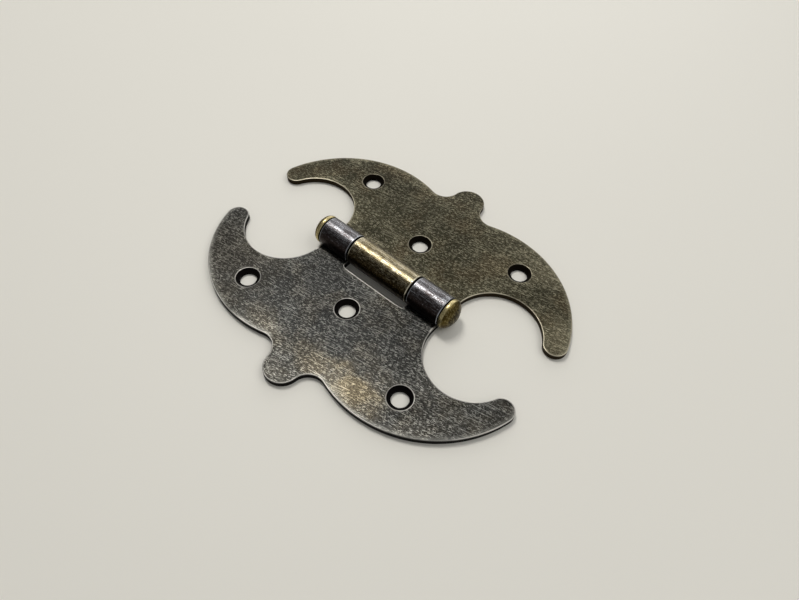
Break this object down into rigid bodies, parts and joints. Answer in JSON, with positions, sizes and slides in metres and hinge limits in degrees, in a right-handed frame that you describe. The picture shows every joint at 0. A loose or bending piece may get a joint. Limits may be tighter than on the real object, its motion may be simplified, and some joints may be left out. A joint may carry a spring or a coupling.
{
  "type": "butterfly hinge",
  "caption": "Decorative butterfly hinge: two flat winged leaves with countersunk screw holes, rolled into knuckles round a riveted pin with domed heads.",
  "frame": {"origin": "under the middle of the pin, on the plane of the leaves' backs, with the hinge open and flat", "axes": "+Y along the pin, -X towards the front leaf's tail, +X towards the back leaf's tail, +Z out of the leaves' faces, on the barrel's side"},
  "size_m": [0.0742, 0.0876, 0.0073],
  "materials": {
    "gunmetal_sheet": "dark gunmetal antique plating, tumbled, fine bright scratches",
    "bronze_sheet": "olive bronze antique plating, tumbled, fine bright scratches",
    "brass_plated_pin": "dark antique brass plating, bright worn rims"
  },
  "bodies": {
    "front": {"front_leaf": "gunmetal_sheet", "hinge_pin": "brass_plated_pin"},
    "back": {"back_leaf": "bronze_sheet"}
  },
  "joints": [
    {"name": "leaf_turn", "type": "hinge", "parent": "front", "child": "back", "pos_m": [0, 0, 0.00365], "axis": [0, -1, 0], "range_deg": [-100, 180]}
  ]
}
